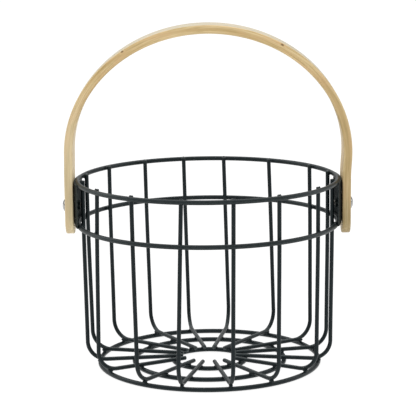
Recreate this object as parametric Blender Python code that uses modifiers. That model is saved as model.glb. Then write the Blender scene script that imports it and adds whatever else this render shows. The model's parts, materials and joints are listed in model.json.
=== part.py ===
"""Wire produce basket: an open round basket of welded wire with a bentwood bail handle.

Frame: metres, +Z up.  The origin is the middle of the base, on the plane the basket stands on.
+X runs along the handle's pivot axis, and the handle stands upright at rest.
"""
import bmesh
import bpy
from math import asin, cos, degrees, pi, radians, sin, sqrt

# ---------------------------------------------------------------- driving dimensions (metres)
GAP = 0.0003                    # left between pieces that are welded or clamped together

RING_WIRE = 0.0044              # wire diameter of the five rings
RIB_WIRE = 0.0039               # wire diameter of the sixteen ribs

RIM_RADIUS = 0.1229             # centreline radii of the rings
BASE_OUTER_RADIUS = 0.1050
BASE_MID_RADIUS = 0.0720
BASE_INNER_RADIUS = 0.0346
RIM_HEIGHT = 0.1783             # centreline heights of the two upper rings
BAND_HEIGHT = 0.1380

RIB_TOP_HEIGHT = 0.1806         # the ribs stand a little proud of the rim
RIB_LEAN = 0.0013               # how far a rib comes in between the rim and its bend
RIB_BEND_RADIUS = 0.0186        # centreline radius where the wall turns into the floor
RIB_TIP_RADIUS = 0.0255         # the spokes end here, around an open centre
RIB_PITCH = 22.5                # degrees between ribs, the first half a pitch from +X
# Each rib is set by hand, so it stands off its even station, in degrees anticlockwise from +X:
# first at the rim, then where the wall turns into the floor.
RIB_OFFSETS = ((1.5, 1), (-1.5, -3), (2.5, -0.3), (3.3, 1.4), (0.5, -1), (-1.8, -3.2), (-1.4, -2),
               (0.2, -2), (-4, -3.6), (-2.4, -5.7), (-1.6, -0.6), (-0.3, -2.6), (-0.2, -0.8),
               (-1.1, -1.2), (2.2, 2), (1.2, 1))

PLATE_THICKNESS = 0.0008        # rolled steel plates that carry the handle
PLATE_HALF_ANGLE = 15           # degrees each side of the pivot axis
PLATE_LAP = 0.0006              # how far past the rim's and the band ring's middles a plate runs

PIVOT_HEIGHT = 0.1545
HANDLE_THICKNESS = 0.0080
HANDLE_WIDTH = 0.0340
HANDLE_EDGE = 0.0012            # rounding of the strip's long edges
HANDLE_PIVOT_HALF = 0.1306      # half distance between the legs' middles at the pivot
HANDLE_LEG_TOP = 0.1805         # the legs are straight up to this height
HANDLE_ARCH_BASE = 0.2050       # from here on the strip is one arch
HANDLE_ARCH_HALF = 0.1310       # half the arch's width, on the strip's middle line
HANDLE_SWAY = 0.0008            # the arch was bent this far off centre, towards +X
HANDLE_TOP = 0.3251             # highest point of the handle
HANDLE_TAILS = {-1: 0.0272, 1: 0.0290}      # how far each leg reaches below the pivot
HANDLE_END_RADIUS = 0.0182      # round end of a leg, seen from the side

SCREW_RADIUS = 0.0025
SCREW_HEAD_RADIUS = 0.0063
SCREW_HEAD_HEIGHT = 0.0031
SCREW_LIP = 0.0007              # height of the straight edge under the dome
SCREW_TIP = 0.1193              # distance of the screw's inner end from the basket's axis
RECESS_LENGTH = 0.0052          # cross recess in the head
RECESS_WIDTH = 0.0011
RECESS_DEPTH = 0.0014
BORE_RADIUS = SCREW_RADIUS + GAP
NUT_ACROSS_FLATS = 0.0080
NUT_HEIGHT = 0.0040

# ---------------------------------------------------------------- resolution
RING_FACETS = 10                # an even number not divisible by four leaves a flat underside
RING_SEGMENTS = {"rim": 72, "outer": 64, "mid": 48, "inner": 32}
BEND_STEPS = 7
ARCH_STEPS = 40
ROUND_STEPS = 24
MERGE = 0.00001


# ---------------------------------------------------------------- scene helpers
def clear_scene():
    for obj in list(bpy.data.objects):
        bpy.data.objects.remove(obj)


def new_collection(name):
    collection = bpy.data.collections.new(name)
    bpy.context.scene.collection.children.link(collection)
    return collection


def principled(name, colour, roughness, metallic):
    material = bpy.data.materials.new(name)
    material.use_nodes = True
    shader = material.node_tree.nodes["Principled BSDF"]
    shader.inputs["Base Color"].default_value = (*colour, 1)
    shader.inputs["Roughness"].default_value = roughness
    shader.inputs["Metallic"].default_value = metallic
    material.diffuse_color = (*colour, 1)
    return material


def adopt(obj, name, collection, material=None, parent=None):
    """Name an object, move it to its collection and give it a material and a parent."""
    obj.name = name
    for old in list(obj.users_collection):
        old.objects.unlink(obj)
    collection.objects.link(obj)
    if material is not None:
        obj.data.materials.clear()
        obj.data.materials.append(material)
    if parent is not None:
        obj.parent = parent
        obj.matrix_parent_inverse = parent.matrix_world.inverted()
    return obj


def new_object(name, data, collection, material=None, parent=None):
    obj = bpy.data.objects.new(name, data)
    return adopt(obj, name, collection, material, parent)


def empty(name, collection, location):
    obj = bpy.data.objects.new(name, None)
    obj.location = location
    collection.objects.link(obj)
    bpy.context.view_layer.update()
    return obj


def curve_to_mesh_object(curve_object, name, collection):
    """Replace a curve object by a mesh object whose end caps are welded on."""
    bpy.context.view_layer.update()
    evaluated = curve_object.evaluated_get(bpy.context.evaluated_depsgraph_get())
    mesh = bpy.data.meshes.new_from_object(evaluated)
    edit = bmesh.new()
    edit.from_mesh(mesh)
    bmesh.ops.remove_doubles(edit, verts=edit.verts, dist=MERGE)
    edit.to_mesh(mesh)
    edit.free()
    obj = bpy.data.objects.new(name, mesh)
    obj.matrix_world = curve_object.matrix_world
    bpy.data.objects.remove(curve_object)
    collection.objects.link(obj)
    return obj


def cut(target, cutter):
    boolean = target.modifiers.new(cutter.name, "BOOLEAN")
    boolean.operation = "DIFFERENCE"
    boolean.object = cutter


def as_cutter(obj, name):
    adopt(obj, name, cutters)
    obj.hide_render = True
    obj.display_type = "WIRE"
    return obj


def cross_bore(name, radius, length, x):
    """A round cutter lying along X, for a hole on the pivot axis."""
    bpy.ops.mesh.primitive_cylinder_add(
        vertices=ROUND_STEPS, radius=radius, depth=length,
        location=(x, 0, PIVOT_HEIGHT), rotation=(0, pi / 2, 0))
    return as_cutter(bpy.context.object, name)


def smooth(obj, angle=40):
    obj.data.shade_smooth()
    obj.data.set_sharp_from_angle(angle=radians(angle))


# ---------------------------------------------------------------- wire frame
def ring(name, radius, height, segments):
    """A wire ring whose flats, not its corners, stand half a wire from its centreline."""
    bpy.ops.mesh.primitive_torus_add(
        major_segments=segments, minor_segments=RING_FACETS, major_radius=radius,
        minor_radius=RING_WIRE / 2 / cos(pi / RING_FACETS), location=(0, 0, height))
    obj = adopt(bpy.context.object, name, basket, wire_coat, frame_root)
    smooth(obj, 60)
    return obj


def rib_points(twist):
    """Centreline of one rib, from its top end to its inner tip.

    The floor spoke lies along +X; the wall's top is turned about the basket's axis by twist.
    """
    corner = RING_WIRE / 2 / cos(pi / RING_FACETS)
    top_radius = RIM_RADIUS - corner - RIB_WIRE / 2 - GAP
    wall_radius = top_radius - RIB_LEAN
    floor = RING_WIRE + RIB_WIRE / 2 + GAP
    centre = (wall_radius - RIB_BEND_RADIUS, floor + RIB_BEND_RADIUS)
    points = []
    for height in (RIB_TOP_HEIGHT, BAND_HEIGHT - RING_WIRE):
        turn = twist * (height - centre[1]) / (RIB_TOP_HEIGHT - centre[1])
        points.append((top_radius * cos(turn), top_radius * sin(turn), height))
    for step in range(BEND_STEPS + 1):
        turn = pi / 2 * step / BEND_STEPS
        points.append((centre[0] + RIB_BEND_RADIUS * cos(turn), 0,
                       centre[1] - RIB_BEND_RADIUS * sin(turn)))
    points.append((RIB_TIP_RADIUS, 0, floor))
    return points


def rib(name, station, rim_offset, floor_offset):
    curve = bpy.data.curves.new(name, "CURVE")
    curve.dimensions = "3D"
    curve.bevel_depth = RIB_WIRE / 2
    curve.bevel_resolution = 2
    curve.use_fill_caps = True
    points = rib_points(radians(rim_offset - floor_offset))
    spline = curve.splines.new("POLY")
    spline.points.add(len(points) - 1)
    for point, place in zip(spline.points, points):
        point.co = (*place, 1)
    obj = new_object(name, curve, basket, wire_coat, frame_root)
    obj.rotation_euler.z = radians(station + floor_offset)


# ---------------------------------------------------------------- handle plates
def handle_plate(name, side):
    """A plate rolled round the outside of the rim and the band ring, drilled for the pivot screw."""
    corner = RING_WIRE / 2 / cos(pi / RING_FACETS)
    wall = RIM_RADIUS + corner + GAP + PLATE_THICKNESS / 2
    mesh = bpy.data.meshes.new(name)
    mesh.from_pydata([(wall, 0, RIM_HEIGHT + PLATE_LAP), (wall, 0, BAND_HEIGHT - PLATE_LAP)],
                     [(0, 1)], [])
    obj = new_object(name, mesh, basket, wire_coat, frame_root)
    start = -PLATE_HALF_ANGLE + (180 if side < 0 else 0)
    obj.rotation_euler.z = radians(start)
    roll = obj.modifiers.new("roll", "SCREW")
    roll.angle = radians(2 * PLATE_HALF_ANGLE)
    roll.steps = roll.render_steps = 12
    roll.merge_threshold = MERGE
    shell = obj.modifiers.new("sheet", "SOLIDIFY")
    shell.thickness = PLATE_THICKNESS
    shell.offset = 0
    cut(obj, cross_bore(f"{name}_bore", BORE_RADIUS, 0.02, side * RIM_RADIUS))
    return obj


# ---------------------------------------------------------------- handle
def leg_line(side):
    """Middle line of one leg from its tail up to just below the arch, in the XZ plane."""
    points = [(side * HANDLE_PIVOT_HALF, PIVOT_HEIGHT - HANDLE_TAILS[side])]
    steps = 4
    for step in range(steps):
        share = step / steps
        ease = share * share * (3 - 2 * share)
        spread = HANDLE_PIVOT_HALF + (HANDLE_ARCH_HALF - HANDLE_PIVOT_HALF) * ease
        height = HANDLE_LEG_TOP + (HANDLE_ARCH_BASE - HANDLE_LEG_TOP) * share
        points.append((side * spread + HANDLE_SWAY * ease, height))
    return points


def handle_centreline():
    """Middle line of the strip in the XZ plane, from the left tail over the arch to the right."""
    rise = HANDLE_TOP - HANDLE_THICKNESS / 2 - HANDLE_ARCH_BASE
    points = leg_line(-1)
    for step in range(ARCH_STEPS + 1):
        turn = pi * step / ARCH_STEPS
        points.append((HANDLE_SWAY - HANDLE_ARCH_HALF * cos(turn),
                       HANDLE_ARCH_BASE + rise * sin(turn)))
    return points + leg_line(1)[::-1]


def offset_line(points, distance):
    """The same line moved sideways by a distance, positive towards its left side."""
    moved = []
    for i, (x, z) in enumerate(points):
        before = points[max(i - 1, 0)]
        after = points[min(i + 1, len(points) - 1)]
        run, climb = after[0] - before[0], after[1] - before[1]
        length = sqrt(run * run + climb * climb)
        moved.append((x - distance * climb / length, z + distance * run / length))
    return moved


def end_cutter(name, side):
    """Cuts a leg's tail to a round end: a slab with a round notch, seen along X."""
    tail_end = PIVOT_HEIGHT - HANDLE_TAILS[side]
    centre_z = tail_end + HANDLE_END_RADIUS
    outer, low = 0.02, tail_end - 0.01
    sweep = asin(HANDLE_WIDTH / 2 / HANDLE_END_RADIUS) + radians(4)
    outline = [(outer, low), (outer, centre_z - HANDLE_END_RADIUS * cos(sweep))]
    steps = 14
    for step in range(steps + 1):
        turn = sweep - 2 * sweep * step / steps
        outline.append((HANDLE_END_RADIUS * sin(turn), centre_z - HANDLE_END_RADIUS * cos(turn)))
    outline += [(-outer, centre_z - HANDLE_END_RADIUS * cos(sweep)), (-outer, low)]
    curve = flat_curve(name, outline, 0.01)
    obj = new_object(name, curve, cutters)
    obj.rotation_euler = (pi / 2, 0, pi / 2)
    obj.location.x = side * HANDLE_PIVOT_HALF
    return as_cutter(curve_to_mesh_object(obj, name, cutters), name)


def flat_curve(name, outline, extrude, rounding=0):
    """A filled flat outline with a thickness, and rounded edges if asked."""
    curve = bpy.data.curves.new(name, "CURVE")
    curve.dimensions = "2D"
    curve.fill_mode = "BOTH"
    curve.extrude = extrude - rounding
    curve.bevel_depth = rounding
    curve.bevel_resolution = 1
    curve.offset = -rounding
    spline = curve.splines.new("POLY")
    spline.points.add(len(outline) - 1)
    for point, (u, v) in zip(spline.points, outline):
        point.co = (u, v, 0, 1)
    spline.use_cyclic_u = True
    return curve


def handle():
    """The bentwood strip: one outline with a width, round tails and two pivot holes."""
    middle = handle_centreline()
    outer = offset_line(middle, HANDLE_THICKNESS / 2)
    inner = offset_line(middle, -HANDLE_THICKNESS / 2)
    outline = [(x, z - PIVOT_HEIGHT) for x, z in outer + inner[::-1]]
    curve = flat_curve("handle_strip", outline, HANDLE_WIDTH / 2, HANDLE_EDGE)
    strip = new_object("handle_strip", curve, basket)
    strip.rotation_euler.x = pi / 2
    strip.location.z = PIVOT_HEIGHT
    obj = curve_to_mesh_object(strip, "bail_handle", basket)
    adopt(obj, "bail_handle", basket, bentwood, handle_pivot)
    for side, label in ((-1, "left"), (1, "right")):
        x = side * HANDLE_PIVOT_HALF
        cut(obj, end_cutter(f"tail_cut_{label}", side))
        cut(obj, cross_bore(f"handle_bore_{label}", BORE_RADIUS, 0.02, x))
    smooth(obj)
    return obj


# ---------------------------------------------------------------- fasteners
def head_seat():
    return HANDLE_PIVOT_HALF + HANDLE_THICKNESS / 2 + GAP


def screw_profile():
    """Half section of the screw, from the top of its dome down to its tip, along local Z."""
    seat = head_seat()
    crown = SCREW_HEAD_HEIGHT - SCREW_LIP
    sphere = (SCREW_HEAD_RADIUS ** 2 + crown ** 2) / (2 * crown)
    sweep = asin(SCREW_HEAD_RADIUS / sphere)
    points = []
    steps = 8
    for step in range(steps + 1):
        turn = sweep * step / steps
        points.append((sphere * sin(turn),
                       seat + SCREW_HEAD_HEIGHT - sphere * (1 - cos(turn))))
    chamfer = 0.0005
    points += [(SCREW_HEAD_RADIUS, seat), (SCREW_RADIUS, seat),
               (SCREW_RADIUS, SCREW_TIP + chamfer), (SCREW_RADIUS - chamfer, SCREW_TIP),
               (0, SCREW_TIP)]
    return points


def pivot_screw(name, side):
    """A dome-head machine screw, put in from outside, with a cross recess in its head."""
    points = screw_profile()
    mesh = bpy.data.meshes.new(name)
    edges = [(i, i + 1) for i in range(len(points) - 1)]
    mesh.from_pydata([(x, 0, z) for x, z in points], edges, [])
    obj = new_object(name, mesh, basket, bright_steel, frame_root)
    obj.location.z = PIVOT_HEIGHT
    obj.rotation_euler.y = side * pi / 2
    turned = obj.modifiers.new("turned", "SCREW")
    turned.steps = turned.render_steps = ROUND_STEPS
    turned.use_merge_vertices = True
    turned.merge_threshold = MERGE
    turned.use_smooth_shade = False
    crown_x = side * (head_seat() + SCREW_HEAD_HEIGHT)
    for arm, (width, height) in enumerate(((RECESS_LENGTH, RECESS_WIDTH),
                                           (RECESS_WIDTH, RECESS_LENGTH))):
        bpy.ops.mesh.primitive_cube_add(size=1, location=(crown_x, 0, PIVOT_HEIGHT))
        slot = as_cutter(bpy.context.object, f"{name}_slot_{arm + 1}")
        slot.scale = (2 * RECESS_DEPTH, width, height)
        cut(obj, slot)
    return obj


def pivot_nut(name, side):
    """A hexagon weld nut on the plate's inside, coated with the wire; the screw runs into it."""
    corner = RING_WIRE / 2 / cos(pi / RING_FACETS)
    seat = RIM_RADIUS + corner
    x = side * (seat - GAP - NUT_HEIGHT / 2)
    bpy.ops.mesh.primitive_cylinder_add(
        vertices=6, radius=NUT_ACROSS_FLATS / 2 / cos(pi / 6), depth=NUT_HEIGHT,
        location=(x, 0, PIVOT_HEIGHT), rotation=(0, pi / 2, 0))
    obj = adopt(bpy.context.object, name, basket, wire_coat, frame_root)
    cut(obj, cross_bore(f"{name}_bore", BORE_RADIUS, 2 * NUT_HEIGHT, x))
    return obj


# ---------------------------------------------------------------- assembly
clear_scene()
basket = new_collection("wire_produce_basket")
cutters = new_collection("cutters")
wire_coat = principled("dark_powder_coat", (0.022, 0.027, 0.027), 0.42, 0.0)
bentwood = principled("pale_bentwood", (0.66, 0.49, 0.28), 0.50, 0.0)
bright_steel = principled("bright_steel", (0.72, 0.72, 0.72), 0.16, 1.0)

frame_root = empty("basket_frame", basket, (0, 0, 0))
handle_pivot = empty("handle_pivot", basket, (0, 0, PIVOT_HEIGHT))

ring("rim_ring", RIM_RADIUS, RIM_HEIGHT, RING_SEGMENTS["rim"])
ring("band_ring", RIM_RADIUS, BAND_HEIGHT, RING_SEGMENTS["rim"])
ring("base_ring_outer", BASE_OUTER_RADIUS, RING_WIRE / 2, RING_SEGMENTS["outer"])
ring("base_ring_mid", BASE_MID_RADIUS, RING_WIRE / 2, RING_SEGMENTS["mid"])
ring("base_ring_inner", BASE_INNER_RADIUS, RING_WIRE / 2, RING_SEGMENTS["inner"])
for number, offsets in enumerate(RIB_OFFSETS):
    rib(f"rib_{number + 1:02d}", (number + 0.5) * RIB_PITCH, *offsets)
handle()
for side, label in ((-1, "left"), (1, "right")):
    handle_plate(f"handle_plate_{label}", side)
    pivot_screw(f"pivot_screw_{label}", side)
    pivot_nut(f"pivot_nut_{label}", side)
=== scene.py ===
"""Looks of the wire produce basket: fine wire, weld beads, plates, fasteners and bentwood handle.

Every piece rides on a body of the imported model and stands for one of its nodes.  Only the weld
beads and seams stand for none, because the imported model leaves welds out.
Units are metres.  +X runs along the handle's pivot axis and the view looks along +Y.
"""
import json
from math import asin, atan2, cos, hypot, pi, radians, sin, sqrt, tan

import bmesh
import bpy
from mathutils import Matrix, Vector, noise


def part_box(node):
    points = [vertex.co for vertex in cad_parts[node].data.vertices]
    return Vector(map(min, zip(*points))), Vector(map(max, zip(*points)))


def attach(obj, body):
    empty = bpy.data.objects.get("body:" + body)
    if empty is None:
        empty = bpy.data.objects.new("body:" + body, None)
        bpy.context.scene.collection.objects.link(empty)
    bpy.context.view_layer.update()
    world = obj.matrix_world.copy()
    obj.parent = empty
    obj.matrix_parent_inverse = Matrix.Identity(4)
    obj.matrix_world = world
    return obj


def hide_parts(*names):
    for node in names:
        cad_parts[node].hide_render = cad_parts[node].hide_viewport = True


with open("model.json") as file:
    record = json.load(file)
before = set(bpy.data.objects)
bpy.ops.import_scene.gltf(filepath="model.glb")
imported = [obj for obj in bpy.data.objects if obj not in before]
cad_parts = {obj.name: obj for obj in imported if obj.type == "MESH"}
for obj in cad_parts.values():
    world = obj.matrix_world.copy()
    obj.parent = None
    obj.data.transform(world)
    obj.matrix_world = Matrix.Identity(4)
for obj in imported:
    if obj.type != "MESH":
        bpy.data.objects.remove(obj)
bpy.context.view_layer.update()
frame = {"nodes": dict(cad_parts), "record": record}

# ---------------------------------------------------------------- sizes of the wire cage
MM = 0.001
RING_CAD_FACETS = 10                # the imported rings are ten-sided, with corners outside the wire
RING_NODES = ("rim_ring", "band_ring", "base_ring_outer", "base_ring_mid", "base_ring_inner")
RIB_NODES = sorted(name for name in frame["nodes"] if name.startswith("rib_"))
SIDES = ((-1, "left"), (1, "right"))

RING_WIRE_RADIUS = (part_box("rim_ring")[1].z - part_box("rim_ring")[0].z) / 2
RING_CORNER = RING_WIRE_RADIUS / cos(pi / RING_CAD_FACETS)
RIB_WIRE_RADIUS = 1.95 * MM
RIB_GAP = 0.3 * MM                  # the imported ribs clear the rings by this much
RIB_BEND_RADIUS = 18.6 * MM         # centreline radius where the wall turns into the floor
RIB_LEAN = 1.3 * MM                 # how far a rib comes in between the band ring and its bend
RIB_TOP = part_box("rib_01")[1].z
RIB_FLOOR = 2 * RING_WIRE_RADIUS + RIB_WIRE_RADIUS + RIB_GAP
RIB_BEND_HEIGHT = RIB_FLOOR + RIB_BEND_RADIUS
RIB_TIP_RADIUS = 25.5 * MM          # how near the basket's axis a spoke ends

HINGE = frame["record"]["behaviour"]["joints"][0]
PIVOT_HEIGHT = HINGE["pos_m"][2]


# ---------------------------------------------------------------- node material helpers
class Graph:
    """A small wrapper that adds nodes to a material and links them."""

    def __init__(self, name):
        self.material = bpy.data.materials.new(name)
        self.material.use_nodes = True
        self.tree = self.material.node_tree
        self.shader = self.tree.nodes["Principled BSDF"]

    def add(self, kind, **settings):
        node = self.tree.nodes.new(kind)
        for key, value in settings.items():
            setattr(node, key, value)
        return node

    def set(self, node, key, value):
        """Link a socket to an input, given by name or number, or set the input to a plain value."""
        if isinstance(value, bpy.types.NodeSocket):
            self.tree.links.new(value, node.inputs[key])
        else:
            node.inputs[key].default_value = value

    def position(self):
        return self.add("ShaderNodeTexCoord").outputs["Object"]

    def attribute(self, name, output="Fac"):
        node = self.add("ShaderNodeAttribute", attribute_name=name)
        return node.outputs[output]

    def stretched(self, vector, scale):
        node = self.add("ShaderNodeMapping")
        self.set(node, "Vector", vector)
        self.set(node, "Scale", scale)
        return node.outputs["Vector"]

    def distance(self, first, second):
        node = self.add("ShaderNodeVectorMath", operation="DISTANCE")
        self.set(node, 0, first)
        self.set(node, 1, second)
        return node.outputs["Value"]

    def shifted(self, vector, amount, offset):
        """The vector moved by an offset, as far as the amount says."""
        node = self.add("ShaderNodeVectorMath", operation="MULTIPLY_ADD")
        self.set(node, 0, amount)
        self.set(node, 1, offset)
        self.set(node, 2, vector)
        return node.outputs["Vector"]

    def noise(self, vector, scale, detail=2.0, roughness=0.5, distortion=0.0):
        node = self.add("ShaderNodeTexNoise")
        self.set(node, "Vector", vector)
        self.set(node, "Scale", scale)
        self.set(node, "Detail", detail)
        self.set(node, "Roughness", roughness)
        self.set(node, "Distortion", distortion)
        return node.outputs["Fac"]

    def math(self, operation, first, second):
        node = self.add("ShaderNodeMath", operation=operation)
        self.set(node, 0, first)
        self.set(node, 1, second)
        return node.outputs["Value"]

    def remap(self, value, low, high, new_low=0.0, new_high=1.0):
        node = self.add("ShaderNodeMapRange", interpolation_type="SMOOTHSTEP")
        self.set(node, "Value", value)
        self.set(node, "From Min", low)
        self.set(node, "From Max", high)
        self.set(node, "To Min", new_low)
        self.set(node, "To Max", new_high)
        return node.outputs["Result"]

    def mix(self, factor, first, second):
        """Blend two colours; a mix node keeps its colour sockets at 6, 7 and, as output, 2."""
        node = self.add("ShaderNodeMix", data_type="RGBA")
        self.set(node, 0, factor)
        self.set(node, 6, first)
        self.set(node, 7, second)
        return node.outputs[2]

    def bump(self, height, strength, distance, below=None):
        node = self.add("ShaderNodeBump")
        self.set(node, "Height", height)
        self.set(node, "Strength", strength)
        self.set(node, "Distance", distance)
        if below is not None:
            self.set(node, "Normal", below)
        return node.outputs["Normal"]


def srgb(red, green, blue):
    """A linear colour from 0-255 display values."""
    linear = []
    for value in (red, green, blue):
        share = value / 255
        linear.append(share / 12.92 if share <= 0.04045 else ((share + 0.055) / 1.055) ** 2.4)
    return (*linear, 1.0)


# ---------------------------------------------------------------- materials
COAT_DEEP = srgb(10, 16, 18)
COAT_LIGHT = srgb(17, 23, 25)
COAT_FLECK = srgb(38, 48, 47)
COAT_RUBBED_AND_HIGHLIGHT = srgb(92, 98, 96)
COAT_GLOSS = srgb(232, 250, 255)


def powder_coat(name, roughness, specular):
    """Dark green-grey satin powder coat: orange peel, uneven gloss, rubbed high spots, and a painted
    highlight along the handle plates' edges.
    """
    g = Graph(name)
    place = g.position()
    patches = g.noise(place, 45, 3, 0.6)
    grains = g.noise(place, 2600, 2, 0.6)
    peel = g.noise(place, 620, 2, 0.55)
    # The rubbed colour follows the per-vertex mask: real rubbing on wires and nuts, a painted highlight
    # along the plate edges.
    rubbed_and_highlit = g.math("MULTIPLY", g.attribute("wear_and_painted_light"), g.remap(g.noise(place, 900, 4, 0.7), 0.35, 0.62))
    base = g.mix(g.remap(patches, 0.3, 0.7), COAT_DEEP, COAT_LIGHT)
    flecked = g.mix(g.remap(grains, 0.58, 0.75, 0, 0.35), base, COAT_FLECK)
    worn_and_highlit = g.mix(g.math("MULTIPLY", rubbed_and_highlit, 0.55), flecked, COAT_RUBBED_AND_HIGHLIGHT)
    g.set(g.shader, "Base Color", worn_and_highlit)
    dull = g.remap(patches, 0.25, 0.75, roughness - 0.06, roughness + 0.06)
    g.set(g.shader, "Roughness", g.math("SUBTRACT", dull, g.math("MULTIPLY", rubbed_and_highlit, 0.10)))
    g.set(g.shader, "Specular IOR Level", specular)
    g.set(g.shader, "Specular Tint", COAT_GLOSS)
    coarse = g.bump(peel, 0.30, 0.05 * MM)
    g.set(g.shader, "Normal", g.bump(grains, 0.10, 0.015 * MM, coarse))
    return g.material


WOOD_PALE = srgb(222, 199, 152)
WOOD_TAN = srgb(197, 169, 119)
WOOD_OLIVE = srgb(174, 149, 97)
WOOD_PINK = srgb(210, 172, 126)
WOOD_FIBRE = srgb(142, 112, 70)
WOOD_KNOT = srgb(98, 70, 38)
WOOD_TAIL_PAINTED_SHADE = srgb(146, 114, 72)
WOOD_LEFT_PAINTED_LIGHT = srgb(230, 220, 188)
WOOD_RIGHT_PAINTED_SHADE = srgb(160, 142, 104)
WOOD_OUTER_PAINTED_SHEEN = srgb(172, 175, 166)
WOOD_TIP_PAINTED_SHADE = srgb(122, 112, 80)


def bentwood():
    """Pale lengthwise-grained wood; the grain follows the strip by its own coordinates.

    Painted light makes the left end of the strip a little paler and painted shade the right end a little
    darker, darkest at its tip;
    a painted sheen makes the outer face paler and greyer than the edges, and painted shade darkens the
    bottoms of the tails.
    """
    g = Graph("pale_bentwood")
    strip = g.attribute("grain", "Vector")
    along_strip = g.attribute("along")
    knots = 0.0
    for along, sideways, depth, size in knot_places():
        away = g.distance(g.stretched(strip, (0.6, 1, 1)), (0.6 * along, sideways, depth))
        ring = g.remap(away, 0.3 * size, 3.2 * size, 1.0, 0.0)
        strip = g.shifted(strip, ring, (0, 0.4 * MM, -1.1 * MM))
        knots = g.math("MAXIMUM", g.remap(away, 0.45 * size, 1.25 * size, 1.0, 0.0), knots)
    bands = g.noise(g.stretched(strip, (9, 220, 270)), 1.0, 3, 0.55, 0.35)
    streaks = g.noise(g.stretched(strip, (26, 480, 600)), 1.0, 4, 0.65, 0.2)
    fibres = g.noise(g.stretched(strip, (90, 2600, 3200)), 1.0, 2, 0.6)
    clouds = g.noise(g.stretched(strip, (30, 110, 150)), 1.0, 2, 0.5)
    wood = g.mix(g.remap(bands, 0.36, 0.64), WOOD_PALE, WOOD_TAN)
    wood = g.mix(g.remap(streaks, 0.46, 0.64, 0, 0.72), wood, WOOD_OLIVE)
    wood = g.mix(g.remap(clouds, 0.48, 0.68, 0, 0.50), wood, WOOD_PINK)
    wood = g.mix(g.remap(fibres, 0.56, 0.78, 0, 0.30), wood, WOOD_FIBRE)
    # Painted light and shade along the strip: the left end paler, the right end darker, darkest at its
    # tip.
    wood = g.mix(g.remap(along_strip, 0.14, 0.30, 0.38, 0), wood, WOOD_LEFT_PAINTED_LIGHT)
    wood = g.mix(g.remap(along_strip, 0.60, 0.82, 0, 0.26), wood, WOOD_RIGHT_PAINTED_SHADE)
    wood = g.mix(g.remap(along_strip, 0.92, 0.98, 0, 0.34), wood, WOOD_TIP_PAINTED_SHADE)
    # Painted sheen: the outer face paler and greyer, standing in for a varnish reflection.
    wood = g.mix(g.remap(g.attribute("outer"), 0.5, 1.0, 0, 0.55), wood, WOOD_OUTER_PAINTED_SHEEN)
    wood = g.mix(g.math("MULTIPLY", knots, 0.80), wood, WOOD_KNOT)
    # Painted shade: darker at the bottoms of the tails.
    wood = g.mix(g.math("MULTIPLY", g.attribute("wear_and_painted_light"), 0.40), wood, WOOD_TAIL_PAINTED_SHADE)
    g.set(g.shader, "Base Color", wood)
    g.set(g.shader, "Roughness", g.remap(streaks, 0.3, 0.7, 0.42, 0.56))
    g.set(g.shader, "Specular IOR Level", 0.3)
    ridges = g.bump(streaks, 0.22, 0.12 * MM)
    g.set(g.shader, "Normal", g.bump(fibres, 0.30, 0.04 * MM, ridges))
    return g.material


STEEL_LIGHT = srgb(176, 175, 172)
STEEL_HAZED = srgb(146, 147, 147)
STEEL_PAINTED_SHADE = srgb(84, 82, 78)


def bright_steel():
    """Plated steel with faint turning marks and haze, darkened by painted shade in the recess and on the
    thread.
    """
    g = Graph("bright_steel")
    place = g.position()
    marks = g.noise(g.stretched(place, (9000, 700, 700)), 1.0, 2, 0.5)
    haze = g.noise(place, 380, 3, 0.6)
    tone = g.mix(g.remap(haze, 0.3, 0.7), STEEL_LIGHT, STEEL_HAZED)
    # Painted shade: the dark steel colour darkens the cross recess and the thread end.
    g.set(g.shader, "Base Color", g.mix(g.attribute("wear_and_painted_light"), tone, STEEL_PAINTED_SHADE))
    g.set(g.shader, "Roughness", g.remap(haze, 0.3, 0.75, 0.13, 0.26))
    g.set(g.shader, "Normal", g.bump(marks, 0.12, 0.01 * MM))
    g.set(g.shader, "Metallic", 1.0)
    return g.material


# ---------------------------------------------------------------- mesh helpers
def new_piece(name, mesh, material, body, nodes):
    """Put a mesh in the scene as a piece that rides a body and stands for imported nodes."""
    piece = bpy.data.objects.new(name, mesh)
    bpy.context.scene.collection.objects.link(piece)
    mesh.materials.clear()
    mesh.materials.append(material)
    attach(piece, body)
    if nodes:
        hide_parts(*nodes)
    return piece


def loft(edit, rows, closed_rows=False, caps=True):
    """Faces between rows of points, each row a closed loop.  Returns the rows of vertices."""
    loops = [[edit.verts.new(point) for point in row] for row in rows]
    count = len(loops[0])
    pairs = list(zip(loops, loops[1:]))
    if closed_rows:
        pairs.append((loops[-1], loops[0]))
    for lower, upper in pairs:
        for i in range(count):
            j = (i + 1) % count
            edit.faces.new((lower[i], lower[j], upper[j], upper[i]))
    if caps and not closed_rows:
        edit.faces.new(loops[0][::-1])
        edit.faces.new(loops[-1])
    return loops


def finish_mesh(edit, name, smooth_angle, wear_and_painted_light=None):
    """Turn a bmesh into a smooth-shaded mesh, with a value on every vertex for wear, which on some
    pieces also carries painted highlight and painted shade.
    """
    bmesh.ops.recalc_face_normals(edit, faces=edit.faces)
    mesh = bpy.data.meshes.new(name)
    edit.to_mesh(mesh)
    edit.free()
    mesh.shade_smooth()
    mesh.set_sharp_from_angle(angle=radians(smooth_angle))
    layer = mesh.attributes.new("wear_and_painted_light", "FLOAT", "POINT")
    for vertex in mesh.vertices:
        layer.data[vertex.index].value = wear_and_painted_light(vertex.co) if wear_and_painted_light else 0.0
    return mesh


def round_end(tip, inward, along, radius, rounding):
    """Stations that round off one end of a tube, from its face inwards: centre, direction, radius."""
    steps = 4
    stations = []
    for step in range(steps):
        turn = pi / 2 * step / steps
        stations.append((tip + inward * rounding * (1 - cos(turn)), along,
                         radius - rounding * (1 - sin(turn))))
    return stations


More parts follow.
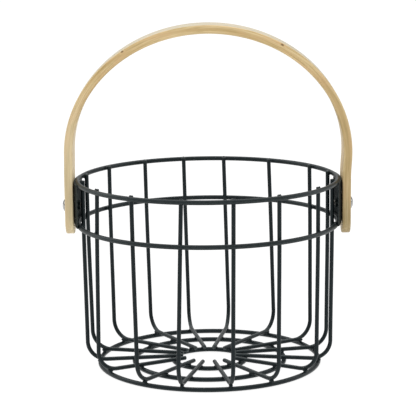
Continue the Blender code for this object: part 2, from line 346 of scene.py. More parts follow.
def tube_rows(points, radius, sides, rounding):
    """Circles along a path that lies nearly in one plane, with softly rounded ends."""
    path = [Vector(point) for point in points]
    normal = (path[-1] - path[0]).cross(path[len(path) // 2] - path[0]).normalized()
    start = (path[1] - path[0]).normalized()
    finish = (path[-1] - path[-2]).normalized()
    stations = round_end(path[0], start, start, radius, rounding)
    for i in range(1, len(path) - 1):
        stations.append((path[i], (path[i + 1] - path[i - 1]).normalized(), radius))
    stations += reversed(round_end(path[-1], -finish, finish, radius, rounding))
    rows = []
    for centre, along, size in stations:
        across = (normal - along * normal.dot(along)).normalized()
        side = along.cross(across)
        rows.append([centre + size * (cos(2 * pi * i / sides) * across
                                      + sin(2 * pi * i / sides) * side)
                     for i in range(sides)])
    return rows


def smooth_step(value, low, high):
    """0 up to low, 1 from high on, and an even S curve between them."""
    share = min(max((value - low) / (high - low), 0.0), 1.0)
    return share * share * (3 - 2 * share)


# ---------------------------------------------------------------- rings
def ring_place(node):
    """Centreline radius and height of a packed ring."""
    low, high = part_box(node)
    return high.x - RING_CORNER, (low.z + high.z) / 2


RING_SIDES = 24
RING_STEPS = {"rim_ring": 288, "band_ring": 288, "base_ring_outer": 256,
              "base_ring_mid": 180, "base_ring_inner": 108}
BUTT_WELDS = {"rim_ring": 3.0, "band_ring": 181.5, "base_ring_outer": 84.0,
              "base_ring_mid": 65.0, "base_ring_inner": 118.0}       # degrees from +X
COLLAR_HEIGHT = 0.07 * MM           # how far a butt weld stands out of the wire


def ring(node):
    """A ring of round wire, closed by a butt weld that leaves a low collar."""
    radius, height = ring_place(node)
    steps = RING_STEPS[node]
    weld_at = radians(BUTT_WELDS[node])
    edit = bmesh.new()
    rows = []
    for step in range(steps):
        turn = 2 * pi * step / steps
        off_weld = (turn - weld_at + pi) % (2 * pi) - pi
        collar = COLLAR_HEIGHT * (1 - smooth_step(abs(off_weld) * radius, 0.6 * MM, 1.9 * MM))
        wire = RING_WIRE_RADIUS + collar
        row = []
        for i in range(RING_SIDES):
            spin = 2 * pi * i / RING_SIDES
            reach = radius + wire * cos(spin)
            rise = max(wire * sin(spin), -RING_WIRE_RADIUS)
            row.append((reach * cos(turn), reach * sin(turn), height + rise))
        rows.append(row)
    loft(edit, rows, closed_rows=True)
    on_base = node.startswith("base")

    def wear_and_painted_light(point):
        if on_base:
            return 1 - smooth_step(point.z, 0.1 * MM, 0.8 * MM)
        outward = (sqrt(point.x ** 2 + point.y ** 2) - radius) / RING_WIRE_RADIUS
        return 0.35 * smooth_step(outward, 0.80, 1.0)

    mesh = finish_mesh(edit, node + "_wire", 180, wear_and_painted_light)
    new_piece(node + "_wire", mesh, COAT, "basket", (node,))


# ---------------------------------------------------------------- ribs
RIB_SIDES = 20
RIB_END_ROUNDING = 0.75 * MM
RIB_END_LENGTH = 2.4 * MM           # the path's last span at each end, longer than the rounding


def middle_of(points):
    return sum(points, Vector()) / len(points)


def rib_station(node):
    """A rib's angle about the basket's axis at the rim and on the floor, and its top's radius."""
    corners = [vertex.co for vertex in frame["nodes"][node].data.vertices]
    top = middle_of([co for co in corners if co.z > RIB_TOP - MM])
    tip = middle_of([co for co in corners if co.xy.length < RIB_TIP_RADIUS + 2 * MM])
    return atan2(top.y, top.x), atan2(tip.y, tip.x), top.xy.length


def rib_angle(station, height):
    """Angle of a rib at a height: its wall is set over a little between the rim and the floor."""
    rim_angle, floor_angle, _ = station
    twist = (rim_angle - floor_angle + pi) % (2 * pi) - pi
    share = (height - RIB_BEND_HEIGHT) / (RIB_TOP - RIB_BEND_HEIGHT)
    return floor_angle + twist * max(share, 0.0)


def rib_path(station):
    """Centreline of a rib: wall, bend and spoke."""
    top_radius = station[2]
    wall_radius = top_radius - RIB_LEAN
    lean_start = ring_place("band_ring")[1] - 2 * RING_WIRE_RADIUS
    centre = wall_radius - RIB_BEND_RADIUS
    profile = [(top_radius, RIB_TOP)]
    first = RIB_TOP - RIB_END_LENGTH
    for step in range(7):
        profile.append((top_radius, first + (lean_start - first) * step / 6))
    for step in range(1, 10):
        share = step / 10
        ease = smooth_step(share, 0, 1) * 0.4 + share * 0.6
        profile.append((top_radius + (wall_radius - top_radius) * ease,
                        lean_start + (RIB_BEND_HEIGHT - lean_start) * share))
    bend_steps = 22
    for step in range(bend_steps + 1):
        turn = pi / 2 * step / bend_steps
        profile.append((centre + RIB_BEND_RADIUS * cos(turn),
                        RIB_BEND_HEIGHT - RIB_BEND_RADIUS * sin(turn)))
    for step in range(1, 9):
        profile.append((centre + (RIB_TIP_RADIUS + RIB_END_LENGTH - centre) * step / 8, RIB_FLOOR))
    profile.append((RIB_TIP_RADIUS, RIB_FLOOR))
    points = []
    for radius, height in profile:
        angle = rib_angle(station, height)
        points.append((radius * cos(angle), radius * sin(angle), height))
    return points


def rib(node):
    """One rib, its sheared ends softened by the coat."""
    edit = bmesh.new()
    path = rib_path(rib_station(node))
    loft(edit, tube_rows(path, RIB_WIRE_RADIUS, RIB_SIDES, RIB_END_ROUNDING))

    def wear_and_painted_light(point):
        tip = point.xy.length - RIB_TIP_RADIUS
        at_top = smooth_step(point.z, RIB_TOP - 0.9 * MM, RIB_TOP)
        at_tip = 1 - smooth_step(tip, 0, 0.9 * MM)
        spoke_top = smooth_step(point.z, RIB_FLOOR + 1.3 * MM, RIB_FLOOR + 1.7 * MM)
        on_floor = 1 - smooth_step(point.z, RIB_FLOOR + 2 * MM, RIB_FLOOR + 4 * MM)
        return max(at_top, at_tip, 0.45 * spoke_top * on_floor)

    mesh = finish_mesh(edit, node + "_wire", 60, wear_and_painted_light)
    new_piece(node + "_wire", mesh, COAT, "basket", (node,))


# ---------------------------------------------------------------- welds
def smooth_union(first, second, blend):
    """Distance to two shapes joined by a fillet about as wide as blend."""
    overlap = max(blend - abs(first - second), 0.0) / blend
    return min(first, second) - overlap * overlap * blend / 4


BEAD_LONGITUDES = 30
BEAD_LATITUDES = 13
BEAD_REACH = 3.1 * MM               # no part of a bead is further than this from its middle
BEAD_CORE = 1.3 * MM                # past this distance the bead thins out
BEAD_THINNING = 90                  # per metre
BEAD_RIPPLE = 0.10 * MM
BEAD_RIPPLE_SCALE = 420             # per metre


def weld_bead(offset, blend, seed):
    """Closed bead that fills the corner between two crossed wires.

    The ring's wire lies along Y at +X, the rib's along Z at -X, each its offset from the origin.
    """

    def surface(point):
        to_ring = sqrt((point.x - offset) ** 2 + point.z ** 2) - RING_WIRE_RADIUS
        to_rib = sqrt((point.x + offset) ** 2 + point.y ** 2) - RIB_WIRE_RADIUS
        ripple = noise.noise(point * BEAD_RIPPLE_SCALE + Vector((seed * 7.3, 0, 0))) * BEAD_RIPPLE
        sink = max(point.length - BEAD_CORE, 0.0) ** 2 * BEAD_THINNING
        return smooth_union(to_ring, to_rib, blend) + sink + ripple

    def reach_along(direction):
        """The bead's surface in one direction from its middle, by halving the distance."""
        inside, outside = 0.0, BEAD_REACH
        for _ in range(18):
            middle = (inside + outside) / 2
            if surface(direction * middle) < 0:
                inside = middle
            else:
                outside = middle
        return direction * inside

    rows = []
    for number in range(1, BEAD_LATITUDES + 1):
        share = 2 * number / (BEAD_LATITUDES + 1) - 1
        tilt = (0.55 * share + 0.45 * share ** 3) * pi / 2
        row = []
        for i in range(BEAD_LONGITUDES):
            turn = 2 * pi * i / BEAD_LONGITUDES
            row.append(reach_along(Vector((sin(tilt), cos(tilt) * cos(turn), cos(tilt) * sin(turn)))))
        rows.append(row)
    return rows


def ring_welds(node):
    """All sixteen weld beads between one ring and the ribs, as one piece."""
    radius, height = ring_place(node)
    edit = bmesh.new()
    for number, rib_node in enumerate(RIB_NODES):
        station = rib_station(rib_node)
        top_radius = station[2]
        spin = Matrix.Rotation(rib_angle(station, height), 4, "Z")
        blend = (2.3 + 0.35 * sin(number * 2.4 + height * 900)) * MM
        if node.startswith("base"):
            offset = (RIB_FLOOR - height) / 2
            upright = Matrix.Rotation(radians(90), 4, "Y")
            place = Matrix.Translation((radius, 0, (RIB_FLOOR + height) / 2))
            matrix = spin @ place @ upright
        else:
            offset = (radius - top_radius) / 2
            matrix = spin @ Matrix.Translation(((radius + top_radius) / 2, 0, height))
        rows = weld_bead(offset, blend, number + radius * 1000)
        loft(edit, [[matrix @ point for point in row] for row in rows])
    name = node.replace("_ring", "") + "_welds"
    mesh = finish_mesh(edit, name, 180)
    new_piece(name, mesh, COAT, "basket", ())


# ---------------------------------------------------------------- handle plates
PLATE_THICKNESS = 0.8 * MM
PLATE_CORNER = 2.2 * MM
PLATE_ROWS = 44
PLATE_COLUMNS = 26
SEAM_LIFTS = (("rim_ring", -0.2 * MM), ("band_ring", 0.2 * MM))     # off each ring's middle
SEAM_HALF_DEPTH = 0.55 * MM
SEAM_HALF_HEIGHT = 1.25 * MM
SEAM_RIPPLE = 1.3 * MM              # spacing of the ripples along a seam
SEAM_SHARE = 0.90                   # of the plate's width


def plate_place():
    """Half angle, radius, top and bottom of a plate's middle surface."""
    low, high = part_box("handle_plate_right")
    return asin(high.y / high.x), high.x - PLATE_THICKNESS / 2, high.z, low.z


def corner_inset(inset):
    """How much a plate is narrower on each side, so far in from its top or bottom edge."""
    if inset >= PLATE_CORNER:
        return 0.0
    return PLATE_CORNER - sqrt(PLATE_CORNER ** 2 - (PLATE_CORNER - inset) ** 2)


def rolled_grid(side):
    """A plate's middle surface as a grid of faces that point away from the basket."""
    half_angle, wall, top, bottom = plate_place()
    edit = bmesh.new()
    grid = []
    for row in range(PLATE_ROWS + 1):
        share = (1 - cos(pi * row / PLATE_ROWS)) / 2
        height = bottom + (top - bottom) * share
        half_width = half_angle * wall - corner_inset(min(height - bottom, top - height))
        line = []
        for column in range(PLATE_COLUMNS + 1):
            turn = half_width / wall * (2 * column / PLATE_COLUMNS - 1)
            line.append(edit.verts.new((side * wall * cos(turn), wall * sin(turn), height)))
        grid.append(line)
    for lower, upper in zip(grid, grid[1:]):
        for i in range(PLATE_COLUMNS):
            edit.faces.new((lower[i], lower[i + 1], upper[i + 1], upper[i]))
    bmesh.ops.recalc_face_normals(edit, faces=edit.faces)
    edit.faces.ensure_lookup_table()
    if edit.faces[0].normal.x * side < 0:
        bmesh.ops.reverse_faces(edit, faces=edit.faces)
    edit.normal_update()
    edit.verts.index_update()
    return edit


def grid_boundary(rows_count, columns):
    """Indices of a grid's outer loop, in order."""
    width = columns + 1
    bottom = list(range(width))
    right = [row * width + columns for row in range(1, rows_count + 1)]
    top = [rows_count * width + column for column in range(columns - 1, -1, -1)]
    left = [row * width for row in range(rows_count - 1, 0, -1)]
    return bottom + right + top + left


def thickened(grid):
    """The closed sheet of metal round a plate's middle surface."""
    solid = bmesh.new()
    inner = [solid.verts.new(v.co - v.normal * PLATE_THICKNESS / 2) for v in grid.verts]
    outer = [solid.verts.new(v.co + v.normal * PLATE_THICKNESS / 2) for v in grid.verts]
    for face in grid.faces:
        corners = [v.index for v in face.verts]
        solid.faces.new([outer[i] for i in corners])
        solid.faces.new([inner[i] for i in reversed(corners)])
    boundary = grid_boundary(PLATE_ROWS, PLATE_COLUMNS)
    for here, after in zip(boundary, boundary[1:] + boundary[:1]):
        solid.faces.new((outer[here], outer[after], inner[after], inner[here]))
    grid.free()
    return solid


def handle_plate(side, label):
    """A rolled plate with round corners and softened edges."""
    half_angle, wall, top, bottom = plate_place()
    solid = thickened(rolled_grid(side))

    # Lighter along the edges: partly edge wear, partly a painted highlight.
    def wear_and_painted_light(point):
        edge = min(point.z - bottom, top - point.z, half_angle * wall - abs(point.y))
        return 1 - smooth_step(edge, 0.1 * MM, 0.9 * MM)

    mesh = finish_mesh(solid, f"handle_plate_{label}_sheet", 50, wear_and_painted_light)
    piece = new_piece(mesh.name, mesh, PLATE_COAT, "basket", (f"handle_plate_{label}",))
    bevel = piece.modifiers.new("soft_edge", "BEVEL")
    bevel.width = 0.28 * MM
    bevel.segments = 3
    bevel.angle_limit = radians(50)


def plate_welds(side, label):
    """Weld seams from a plate to the outside of the rim and of the band ring."""
    half_angle, wall, _, _ = plate_place()
    facing = 0 if side > 0 else pi
    steps, sides = 72, 14
    edit = bmesh.new()
    for node, lift in SEAM_LIFTS:
        ring_radius, ring_height = ring_place(node)
        radius = (ring_radius + RING_WIRE_RADIUS + wall - PLATE_THICKNESS / 2) / 2
        rows = []
        for step in range(steps + 1):
            share = 2 * step / steps - 1
            turn = half_angle * SEAM_SHARE * share
            taper = sqrt(max(1 - abs(share) ** 6, 0.0004))
            swell = taper * (1 + 0.10 * sin(turn * radius / SEAM_RIPPLE * 2 * pi))
            place = Matrix.Rotation(turn + facing, 3, "Z")
            row = []
            for i in range(sides):
                spin = 2 * pi * i / sides
                row.append(place @ Vector((radius + SEAM_HALF_DEPTH * swell * cos(spin), 0,
                                           ring_height + lift + SEAM_HALF_HEIGHT * swell * sin(spin))))
            rows.append(row)
        loft(edit, rows)
    mesh = finish_mesh(edit, f"handle_plate_{label}_welds", 180)
    new_piece(mesh.name, mesh, COAT, "basket", ())


# ---------------------------------------------------------------- handle
HANDLE_THICKNESS = 8.0 * MM
HANDLE_EDGE = 1.2 * MM              # rounding of the strip's long edges
HANDLE_END_RADIUS = 18.2 * MM       # round end of a leg, seen from the side
HANDLE_PIVOT_HALF = 0.1306          # half distance between the legs' middles at the pivot
HANDLE_LEG_TOP = 0.1805             # the legs are straight up to this height
HANDLE_ARCH_BASE = 0.2050           # from here on the strip is one arch
HANDLE_ARCH_HALF = 0.1310           # half the arch's width, on the strip's middle line
HANDLE_SWAY = 0.8 * MM              # the arch was bent this far off centre, towards +X


def leg_line(side):
    """Middle line of one leg from its tail up to just below the arch, in the XZ plane."""
    corners = [vertex.co for vertex in frame["nodes"]["bail_handle"].data.vertices]
    tail_end = min(co.z for co in corners if co.x * side > 0)
    straight = [tail_end + (HANDLE_LEG_TOP - tail_end) * step / 24 for step in range(24)]
    points = [Vector((side * HANDLE_PIVOT_HALF, 0, height)) for height in straight]
    for step in range(16):
        share = step / 16
        ease = smooth_step(share, 0, 1)
        spread = HANDLE_PIVOT_HALF + (HANDLE_ARCH_HALF - HANDLE_PIVOT_HALF) * ease
        height = HANDLE_LEG_TOP + (HANDLE_ARCH_BASE - HANDLE_LEG_TOP) * share
        points.append(Vector((side * spread + HANDLE_SWAY * ease, 0, height)))
    return points


def handle_line():
    """Dense middle line of the strip in the XZ plane, from the left tail to the right."""
    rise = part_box("bail_handle")[1].z - HANDLE_THICKNESS / 2 - HANDLE_ARCH_BASE
    points = leg_line(-1)
    for step in range(401):
        turn = pi * step / 400
        points.append(Vector((HANDLE_SWAY - HANDLE_ARCH_HALF * cos(turn), 0,
                              HANDLE_ARCH_BASE + rise * sin(turn))))
    return points + leg_line(1)[::-1]


class Strip:
    """Turns lengthwise, sideways and thickness positions into points on the bent strip."""

    def __init__(self):
        self.points = handle_line()
        self.distance = [0.0]
        for before, after in zip(self.points, self.points[1:]):
            self.distance.append(self.distance[-1] + (after - before).length)
        self.length = self.distance[-1]

    def frame_at(self, along):
        """Point on the middle line and the outward direction, so far along the strip."""
        low, high = 0, len(self.points) - 2
        while low < high:
            middle = (low + high + 1) // 2
            if self.distance[middle] <= along:
                low = middle
            else:
                high = middle - 1
        span = self.distance[low + 1] - self.distance[low]
        share = (along - self.distance[low]) / span
        point = self.points[low].lerp(self.points[low + 1], share)
        before = self.points[max(low - 1, 0)]
        after = self.points[min(low + 2, len(self.points) - 1)]
        tangent = (after - before).normalized()
        outward = Vector((-tangent.z, 0, tangent.x))
        return point, outward

    def place(self, along, sideways, depth):
        point, outward = self.frame_at(along)
        return point + outward * depth + Vector((0, sideways, 0))


# Where two knots show on the strip's front edge: distance from the middle plane along the pivot
# axis, depth from the strip's middle, radius.
KNOTS = ((-76.3 * MM, 3.1 * MM, 1.0 * MM), (69.5 * MM, 2.6 * MM, 1.1 * MM))


def knot_places():
    """Knots in the strip's own coordinates: lengthwise, sideways, depth, and radius."""
    strip = Strip()
    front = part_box("bail_handle")[0].y
    places = []
    for across, depth, size in KNOTS:
        nearest = min(range(len(strip.points)), key=lambda i: abs(strip.points[i].x - across))
        places.append((strip.distance[nearest], front, depth, size))
    return places


def strip_section():
    """Points round the strip: (thickness position, inset of the outline, share of the width)."""
    half = HANDLE_THICKNESS / 2
    flat = half - HANDLE_EDGE
    arc_steps, face_steps = 6, 10
    side = [(-half + HANDLE_EDGE * (1 - cos(pi / 2 * i / arc_steps)),
             HANDLE_EDGE * (1 - sin(pi / 2 * i / arc_steps))) for i in range(arc_steps + 1)]
    side += [(-flat + 2 * flat * i / 4, 0.0) for i in range(1, 4)]
    side += [(-t, inset) for t, inset in reversed(side[:arc_steps + 1])]
    loop = [(t, inset, 1.0) for t, inset in side]
    loop += [(half, HANDLE_EDGE, 1 - 2 * i / face_steps) for i in range(1, face_steps)]
    loop += [(t, inset, -1.0) for t, inset in reversed(side)]
    loop += [(-half, HANDLE_EDGE, -1 + 2 * i / face_steps) for i in range(1, face_steps)]
    return loop


def handle_stations(length, half_width):
    """Lengthwise positions: close together round the ends, even along the strip."""
    end_sweep = asin(half_width / HANDLE_END_RADIUS)
    steps = 16
    near = [HANDLE_END_RADIUS * (1 - cos(end_sweep * i / steps)) for i in range(steps + 1)]
    count = 210
    middle = [near[-1] + (length - 2 * near[-1]) * i / count for i in range(1, count)]
    return near + middle + [length - d for d in reversed(near)]


def bail_handle():
    """The bentwood strip with round tails; it carries its own grain coordinates."""
    strip = Strip()
    low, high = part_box("bail_handle")
    half_width = (high.y - low.y) / 2
    section = strip_section()
    edit = bmesh.new()
    grain = edit.verts.layers.float_vector.new("grain")
    along_strip = edit.verts.layers.float.new("along")
    outer_face = edit.verts.layers.float.new("outer")
    rows = []
    for station in handle_stations(strip.length, half_width):
        row = []
        for depth, inset, share in section:
            tip = min(station, strip.length - station)
            from_tip = max(tip, inset)
            along = from_tip if station < strip.length / 2 else strip.length - from_tip
            full = half_width - inset
            if from_tip < HANDLE_END_RADIUS:
                round_end = (HANDLE_END_RADIUS - inset) ** 2 - (HANDLE_END_RADIUS - from_tip) ** 2
                full = min(full, sqrt(max(round_end, 0.0)))
            vertex = edit.verts.new(strip.place(along, full * share, depth))
            vertex[grain] = Vector((along, full * share, depth))
            vertex[along_strip] = along / strip.length
            vertex[outer_face] = smooth_step(2 * depth / HANDLE_THICKNESS, 0.94, 1)
            row.append(vertex)
        rows.append(row)
    count = len(section)
    for lower, upper in zip(rows, rows[1:]):
        for i in range(count):
            j = (i + 1) % count
            edit.faces.new((lower[i], lower[j], upper[j], upper[i]))
    bmesh.ops.remove_doubles(edit, verts=edit.verts, dist=0.01 * MM)
    bmesh.ops.dissolve_degenerate(edit, edges=edit.edges, dist=0.005 * MM)
    holes = [edge for edge in edit.edges if edge.is_boundary]
    if holes:
        bmesh.ops.holes_fill(edit, edges=holes)

    # Painted shade mask: darker towards the bottom of each tail.
    def wear_and_painted_light(point):
        return 0.5 * (1 - smooth_step(point.z, low.z, low.z + 5 * MM))

    mesh = finish_mesh(edit, "bail_handle_strip", 60, wear_and_painted_light)
    new_piece("bail_handle_strip", mesh, WOOD, "handle", ("bail_handle",))


# ---------------------------------------------------------------- fasteners
HEAD_HEIGHT = 3.1 * MM
HEAD_LIP = 0.7 * MM
SHANK_RADIUS = 2.5 * MM
THREAD_PITCH = 0.8 * MM
THREAD_DEPTH = 0.4 * MM
THREAD_START = 126.2 * MM           # distance from the basket's axis, inside the plate
SCREW_SIDES = 64
CROSS_TOP = (2.75 * MM, 0.62 * MM)  # half length and half width of a slot at the crown
CROSS_FLOOR = (1.15 * MM, 0.36 * MM)
CROSS_DEPTH = 1.7 * MM
CROSS_TURN = radians(20)
NUT_SIDES = 72
NUT_EDGE = 0.35 * MM                # chamfer at both ends of the bore
NUT_CHAMFER_ANGLE = radians(30)


def along_x(side):
    """Matrix from a part modelled along +Z to one that points outwards along the pivot axis."""
    return Matrix.Translation((0, 0, PIVOT_HEIGHT)) @ Matrix.Rotation(side * pi / 2, 4, "Y")


def head_rows(seat, radius):
    """Rings of a low dome with a soft lip, from its underside to just short of its crown."""
    crown = HEAD_HEIGHT - HEAD_LIP
    sphere = (radius ** 2 + crown ** 2) / (2 * crown)
    profile = [(SHANK_RADIUS, seat), (radius - 0.25 * MM, seat), (radius - 0.05 * MM, seat + 0.12 * MM),
               (radius, seat + 0.32 * MM), (radius - 0.02 * MM, seat + HEAD_LIP)]
    sweep = asin((radius - 0.15 * MM) / sphere)
    steps = 18
    for step in range(1, steps):
        turn = sweep * (1 - step / steps)
        profile.append((sphere * sin(turn), seat + HEAD_HEIGHT - sphere * (1 - cos(turn))))
    rows = []
    for reach, z in profile:
        turns = [2 * pi * i / SCREW_SIDES for i in range(SCREW_SIDES)]
        rows.append([(reach * cos(turn), reach * sin(turn), z) for turn in turns])
    return rows


def shank_rows(seat, tip):
    """Rings of the shank from the head down: plain in the strip, threaded in the nut."""
    steps = 64
    rows = []
    for step in range(steps + 1):
        z = seat + (tip - seat) * step / steps
        end_taper = 0.5 * MM * (1 - smooth_step(z - tip, 0, 0.8 * MM))
        row = []
        for i in range(SCREW_SIDES):
            turn = 2 * pi * i / SCREW_SIDES
            phase = (z / THREAD_PITCH + i / SCREW_SIDES) % 1.0
            cut = THREAD_DEPTH * (1 - abs(2 * phase - 1)) if z < THREAD_START else 0.0
            reach = SHANK_RADIUS - cut - end_taper
            row.append((reach * cos(turn), reach * sin(turn), z))
        rows.append(row)
    return rows


def loop_edges(loop):
    """The edges that join each vertex of a closed loop to the next one."""
    edges = []
    for here, after in zip(loop, loop[1:] + loop[:1]):
        edges.append(next(edge for edge in here.link_edges if edge.other_vert(here) is after))
    return edges


def temporary_object(edit, name):
    """A bmesh as an object of the scene, to be removed again."""
    bmesh.ops.recalc_face_normals(edit, faces=edit.faces)
    mesh = bpy.data.meshes.new(name)
    edit.to_mesh(mesh)
    edit.free()
    helper = bpy.data.objects.new(name, mesh)
    bpy.context.scene.collection.objects.link(helper)
    return helper


def screw_blank(seat, tip, crown, radius, matrix):
    """A screw with a plain head."""
    edit = bmesh.new()
    head = loft(edit, [[matrix @ Vector(p) for p in row] for row in head_rows(seat, radius)], caps=False)
    crown_vertex = edit.verts.new(matrix @ Vector((0, 0, crown)))
    for i in range(SCREW_SIDES):
        edit.faces.new((head[-1][i], head[-1][(i + 1) % SCREW_SIDES], crown_vertex))
    shank = loft(edit, [[matrix @ Vector(p) for p in row] for row in shank_rows(seat, tip)], caps=False)
    edit.faces.new(shank[-1])
    bmesh.ops.bridge_loops(edit, edges=loop_edges(head[0]) + loop_edges(shank[0]))
    return temporary_object(edit, "screw_blank")


def cross_cutter(crown, matrix):
    """A tapered cross that cuts the recess in a screw head."""
    edit = bmesh.new()
    for spin in (0, pi / 2):
        turn = Matrix.Rotation(spin + CROSS_TURN, 4, "Z")
        rows = []
        for (length, width), z in ((CROSS_FLOOR, crown - CROSS_DEPTH), (CROSS_TOP, crown + 0.1 * MM)):
            corners = ((-length, -width), (length, -width), (length, width), (-length, width))
            rows.append([matrix @ turn @ Vector((x, y, z)) for x, y in corners])
        loft(edit, rows)
    return temporary_object(edit, "cross")


def cut_out(blank, cutter):
    """What is left of one helper object when the other is cut out of it; both are removed."""
    cut = blank.modifiers.new("recess", "BOOLEAN")
    cut.object = cutter
    cut.operation = "DIFFERENCE"
    cut.use_self = True
    bpy.context.view_layer.update()
    made = bpy.data.meshes.new_from_object(blank.evaluated_get(bpy.context.evaluated_depsgraph_get()))
    bpy.data.objects.remove(blank)
    bpy.data.objects.remove(cutter)
    solid = bmesh.new()
    solid.from_mesh(made)
    return solid


def pivot_screw(side, label):
    """A dome-head screw: cross recess, and a thread on the end that stands out of its nut."""
    low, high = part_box(f"pivot_screw_{label}")
    tip, crown = (low.x, high.x) if side > 0 else (-high.x, -low.x)
    radius = (high.z - low.z) / 2
    matrix = along_x(side)
    blank = screw_blank(crown - HEAD_HEIGHT, tip, crown, radius, matrix)
    solid = cut_out(blank, cross_cutter(crown, matrix))

    # Painted shade mask: full on the thread end inside the basket, partial in the cross recess.
    def wear_and_painted_light(point):
        if side * point.x < THREAD_START:
            return 1.0
        inward = hypot(point.y, point.z - PIVOT_HEIGHT)
        sunk = smooth_step(crown - 1.0 * MM - side * point.x, 0, 0.6 * MM)
        return 0.7 * (1 - smooth_step(inward, 2.6 * MM, 3.0 * MM)) * sunk

    mesh = finish_mesh(solid, f"pivot_screw_{label}_fine", 35, wear_and_painted_light)
    new_piece(mesh.name, mesh, STEEL, "basket", (f"pivot_screw_{label}",))


def hexagon_row(half_flats, limit, z):
    """A hexagon of points whose corners are cut by a circle; equal sizes give the circle."""
    row = []
    for i in range(NUT_SIDES):
        turn = 2 * pi * i / NUT_SIDES
        off_flat = (turn + pi / 6) % (pi / 3) - pi / 6
        reach = min(half_flats / cos(off_flat), limit)
        row.append((reach * cos(turn), reach * sin(turn), z))
    return row


def pivot_nut(side, label):
    """A coated nut: a hexagon whose corners are turned off on both faces."""
    low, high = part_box(f"pivot_nut_{label}")
    inner, outer = (low.x, high.x) if side > 0 else (-high.x, -low.x)
    corners_up = high.z - low.z > high.y - low.y
    half_flats = min(high.y - low.y, high.z - low.z) / 2
    height = outer - inner
    bore = SHANK_RADIUS + 0.05 * MM
    mouth = bore + NUT_EDGE
    rows = [hexagon_row(bore, bore, NUT_EDGE), hexagon_row(mouth, mouth, 0)]
    for share in (0, 0.04, 0.10, 0.18, 0.5, 0.82, 0.90, 0.96, 1):
        z = height * share
        cone = half_flats * 0.97 + min(z, height - z) / tan(NUT_CHAMFER_ANGLE)
        rows.append(hexagon_row(half_flats, cone, z))
    rows.append(hexagon_row(mouth, mouth, height))
    rows.append(hexagon_row(bore, bore, height - NUT_EDGE))
    place = (along_x(side) @ Matrix.Translation((0, 0, inner))
             @ Matrix.Rotation(pi / 6 if corners_up else 0, 4, "Z"))
    edit = bmesh.new()
    loft(edit, [[place @ Vector(point) for point in row] for row in rows], closed_rows=True)

    def wear_and_painted_light(point):
        return 0.5 * smooth_step(hypot(point.y, point.z - PIVOT_HEIGHT), half_flats, 1.12 * half_flats)

    mesh = finish_mesh(edit, f"pivot_nut_{label}_fine", 28, wear_and_painted_light)
    new_piece(mesh.name, mesh, PLATE_COAT, "basket", (f"pivot_nut_{label}",))


# ---------------------------------------------------------------- stage, light and camera
FLOOR_HALF = 14.0
FLOOR_DROP = 0.2 * MM               # keeps the floor clear of the wire that stands on it
FLOOR_GLOW = 0.90
WORLD_DIM = 0.16
WORLD_BRIGHT = 0.80
SKY_POWER = 1.2
STUDIO_MIDDLE = (0, 0, 0.16)
SOFTBOXES = (                       # name, place, size and power in watts
    ("left_box", (-1.7, 0.5, 0.9), (1.0, 1.2), 7),
    ("right_box", (1.7, 0.5, 0.8), (0.8, 1.2), 5),
    ("top_box", (0, 0.5, 1.6), (1.8, 0.6), 5),
)
FRONT_FILL = ("front_fill", (0.3, -2.2, 1.2), (1.5, 1.2), 14.5)
VIEW_TARGET = Vector((0.0001, 0.0, 0.1517))
VIEW_DISTANCE = 1.685
VIEW_PITCH = radians(10.71)
VIEW_ROLL = radians(-0.6)
VIEW_LENS = 153.5                   # millimetres, on a 36 mm sensor


def stage():
    """A plain white light table that runs out past every view; it glows, so shadows on it are faint."""
    corners = [(x * FLOOR_HALF, y * FLOOR_HALF, 0) for x, y in ((-1, -1), (1, -1), (1, 1), (-1, 1))]
    mesh = bpy.data.meshes.new("floor")
    mesh.from_pydata(corners, [], [(0, 1, 2, 3)])
    floor = bpy.data.objects.new("floor", mesh)
    bpy.context.scene.collection.objects.link(floor)
    floor.location.z = -FLOOR_DROP
    g = Graph("white_floor")
    cloud = g.noise(g.position(), 1.5, 2, 0.5)
    g.set(g.shader, "Base Color", g.mix(cloud, srgb(96, 96, 96), srgb(102, 102, 102)))
    g.set(g.shader, "Roughness", 0.9)
    g.set(g.shader, "Specular IOR Level", 0.1)
    g.set(g.shader, "Emission Color", (1, 1, 1, 1))
    g.set(g.shader, "Emission Strength", FLOOR_GLOW)
    mesh.materials.append(g.material)


def softbox(name, location, size, power):
    """A rectangular area light that faces the basket."""
    data = bpy.data.lights.new(name, "AREA")
    data.shape = "RECTANGLE"
    data.size, data.size_y = size
    data.energy = power
    light = bpy.data.objects.new(name, data)
    light.location = location
    light.rotation_mode = "QUATERNION"
    light.rotation_quaternion = (Vector(STUDIO_MIDDLE) - Vector(location)).to_track_quat("-Z", "Y")
    bpy.context.scene.collection.objects.link(light)
    return light


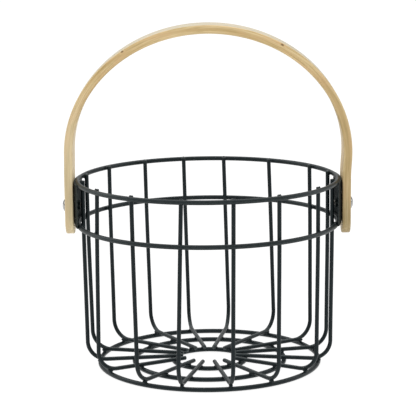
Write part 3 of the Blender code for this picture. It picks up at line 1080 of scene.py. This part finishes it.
def studio_world():
    """Soft light from above and behind; the sides and the front are dimmer near the horizon."""
    world = bpy.data.worlds.new("studio")
    world.use_nodes = True
    nodes, links = world.node_tree.nodes, world.node_tree.links
    direction = nodes.new("ShaderNodeSeparateXYZ")
    links.new(nodes.new("ShaderNodeTexCoord").outputs["Generated"], direction.inputs[0])
    levels = []
    for axis, low, high in (("Z", 0.12, 0.60), ("Y", 0.70, 0.98)):
        level = nodes.new("ShaderNodeMapRange")
        level.interpolation_type = "SMOOTHSTEP"
        level.inputs["From Min"].default_value = low
        level.inputs["From Max"].default_value = high
        level.inputs["To Min"].default_value = WORLD_DIM
        level.inputs["To Max"].default_value = WORLD_BRIGHT
        links.new(direction.outputs[axis], level.inputs["Value"])
        levels.append(level.outputs["Result"])
    lit = nodes.new("ShaderNodeMath")
    lit.operation = "MAXIMUM"
    links.new(levels[0], lit.inputs[0])
    links.new(levels[1], lit.inputs[1])
    seen = nodes.new("ShaderNodeMath")
    seen.operation = "MAXIMUM"
    links.new(nodes.new("ShaderNodeLightPath").outputs["Is Camera Ray"], seen.inputs[0])
    links.new(lit.outputs["Value"], seen.inputs[1])
    links.new(seen.outputs["Value"], nodes["Background"].inputs["Strength"])
    nodes["Background"].inputs["Color"].default_value = (1, 1, 1, 1)
    return world


def lights():
    """A soft, nearly shadowless studio: broad light from above, softboxes round the sides and top.

    The fill beside the camera lights matt surfaces only, so it leaves no glare on the coat.
    """
    scene = bpy.context.scene
    scene.world = studio_world()
    sun_data = bpy.data.lights.new("sky", "SUN")
    sun_data.energy = SKY_POWER
    sun_data.angle = radians(100)
    sky = bpy.data.objects.new("sky", sun_data)
    sky.rotation_euler = (radians(-12), radians(-8), 0)
    scene.collection.objects.link(sky)
    for box in SOFTBOXES:
        softbox(*box)
    softbox(*FRONT_FILL).visible_glossy = False
    scene.view_settings.view_transform = "Standard"


def camera():
    """The photo's view: a long lens, a little above the rim and rolled a little."""
    data = bpy.data.cameras.new("view")
    data.lens = VIEW_LENS
    data.sensor_width = 36.0
    data.clip_start, data.clip_end = 0.05, 60.0
    cam = bpy.data.objects.new("view", data)
    back = Vector((0, -cos(VIEW_PITCH), sin(VIEW_PITCH)))
    cam.location = VIEW_TARGET + back * VIEW_DISTANCE
    cam.rotation_mode = "QUATERNION"
    aim = (-back).to_track_quat("-Z", "Y")
    roll = Matrix.Rotation(VIEW_ROLL, 3, "Z").to_quaternion()
    cam.rotation_quaternion = aim @ roll
    bpy.context.scene.collection.objects.link(cam)
    bpy.context.scene.camera = cam


# ---------------------------------------------------------------- assembly
COAT = powder_coat("dark_powder_coat", roughness=0.40, specular=0.30)
PLATE_COAT = powder_coat("dull_powder_coat", roughness=0.62, specular=0.06)
WOOD = bentwood()
STEEL = bright_steel()
for ring_node in RING_NODES:
    ring(ring_node)
    ring_welds(ring_node)
for rib_node in RIB_NODES:
    rib(rib_node)
for plate_side, plate_label in SIDES:
    handle_plate(plate_side, plate_label)
    plate_welds(plate_side, plate_label)
    pivot_screw(plate_side, plate_label)
    pivot_nut(plate_side, plate_label)
bail_handle()
stage()
lights()
camera()
